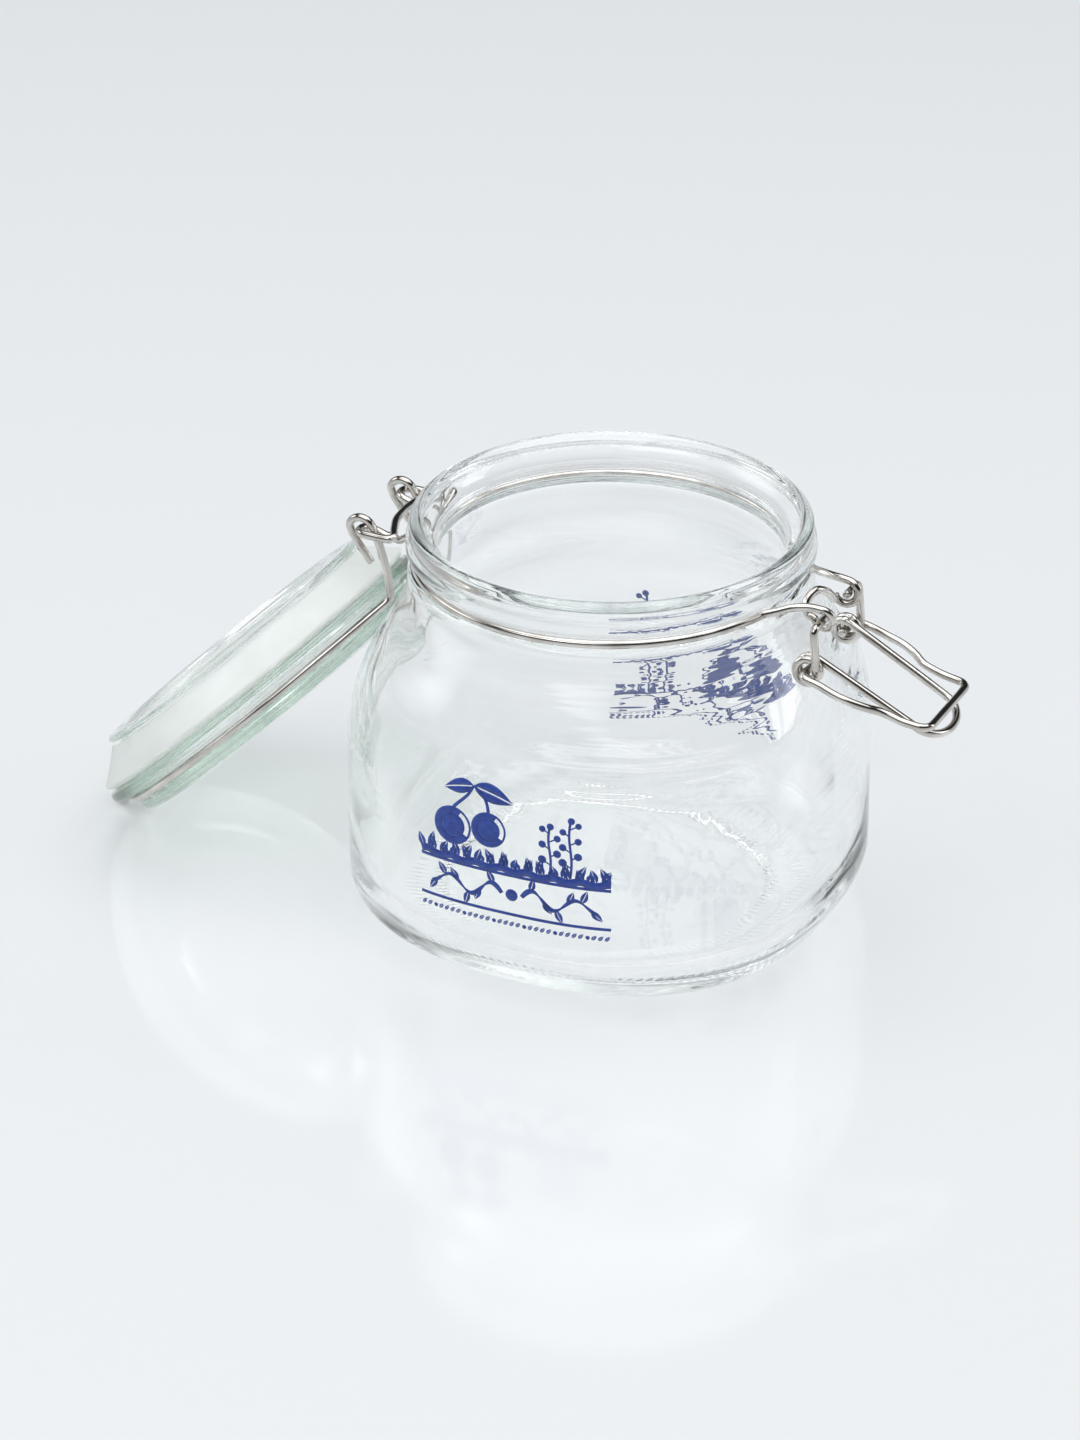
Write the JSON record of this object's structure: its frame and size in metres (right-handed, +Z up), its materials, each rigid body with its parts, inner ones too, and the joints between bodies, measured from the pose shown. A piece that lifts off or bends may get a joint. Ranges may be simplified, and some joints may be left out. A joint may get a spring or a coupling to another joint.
{
  "type": "clamp jar",
  "caption": "Short squared glass preserving jar with a round mouth, a hinged glass lid with a rubber ring, and a wire lever latch.",
  "frame": {"origin": "on the jar's upright axis, in the plane of the flat base it stands on", "axes": "+Z up out of the mouth, +X toward the lever latch, -X toward the lid's hinge, -Y the printed face"},
  "size_m": [0.2076, 0.113, 0.097],
  "materials": {
    "jar_glass": "clear polished",
    "lid_glass": "clear polished, green at the edges",
    "gasket_rubber": "milky, slightly see-through",
    "neck_wire_steel": "bright drawn wire",
    "lid_wire_steel": "bright drawn wire",
    "lever_steel": "bright drawn wire",
    "bail_steel": "bright drawn wire"
  },
  "bodies": {
    "jar": {"jar_body": "jar_glass", "neck_wire": "neck_wire_steel"},
    "lid": {"lid_glass": "lid_glass", "gasket": "gasket_rubber", "lid_wire": "lid_wire_steel"},
    "lever": {"latch_lever": "lever_steel"},
    "bail": {"latch_bail": "bail_steel"}
  },
  "joints": [
    {"name": "lid_hinge", "type": "hinge", "parent": "jar", "child": "lid", "pos_m": [-0.0575, 0, 0.0868], "axis": [0, 1, 0], "range_deg": [0, 223.8]},
    {"name": "lever_pivot", "type": "hinge", "parent": "jar", "child": "lever", "pos_m": [0.05465, 0, 0.08565], "axis": [0, 1, 0], "range_deg": [-150, 12]},
    {"name": "bail_pivot", "type": "hinge", "parent": "lever", "child": "bail", "pos_m": [0.0529, 0, 0.0747], "axis": [0, -1, 0], "range_deg": [0, 122]}
  ]
}
